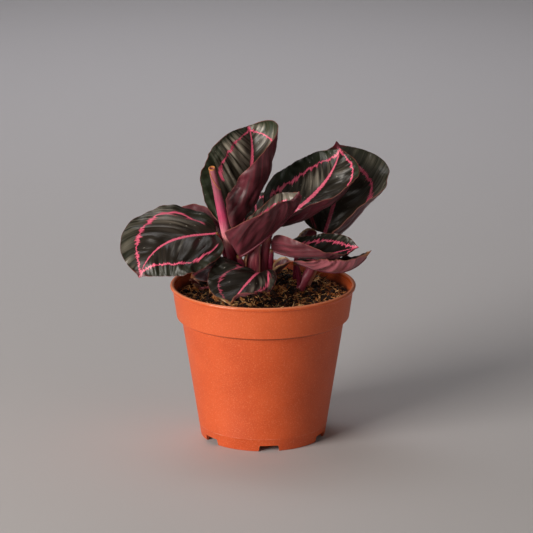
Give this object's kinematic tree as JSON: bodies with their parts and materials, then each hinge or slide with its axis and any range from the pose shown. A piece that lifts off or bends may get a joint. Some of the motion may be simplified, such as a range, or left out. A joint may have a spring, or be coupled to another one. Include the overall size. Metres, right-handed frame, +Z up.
{
  "type": "potted calathea",
  "caption": "Bushy potted calathea: broad dark oval leaves with pink feathered bands and burgundy undersides on thin stems, in a round tapered nursery pot of soil.",
  "frame": {"origin": "middle of the pot's flat base, on the surface that it stands on", "axes": "+Z up, -Y the plant's front, +X the plant's right as seen from the front"},
  "size_m": [0.1729, 0.12, 0.2057],
  "materials": {
    "pot_plastic": "satin moulded orange plastic",
    "soil": "rough crumbly peat and coir",
    "leaf": "waxy near-black green above with pink bands, satin burgundy beneath",
    "stem": "satin burgundy",
    "young_leaf": "satin pink"
  },
  "bodies": {
    "root": {"pot": "pot_plastic", "soil": "soil", "leaf_tall": "leaf", "stem_tall": "stem", "leaf_left": "leaf", "stem_left": "stem", "leaf_left_back": "leaf", "stem_left_back": "stem", "leaf_centre": "leaf", "stem_centre": "stem", "leaf_right": "leaf", "stem_right": "stem", "leaf_right_back": "leaf", "stem_right_back": "stem", "leaf_low_upper": "leaf", "stem_low_upper": "stem", "leaf_low_lower": "leaf", "stem_low_lower": "stem", "leaf_front": "leaf", "stem_front": "stem", "leaf_under_left": "leaf", "stem_under_left": "stem", "leaf_back": "leaf", "stem_back": "stem", "leaf_bract": "leaf", "stem_bract": "stem", "leaf_right_inner": "leaf", "stem_right_inner": "stem", "leaf_rolled": "young_leaf"}
  },
  "joints": []
}
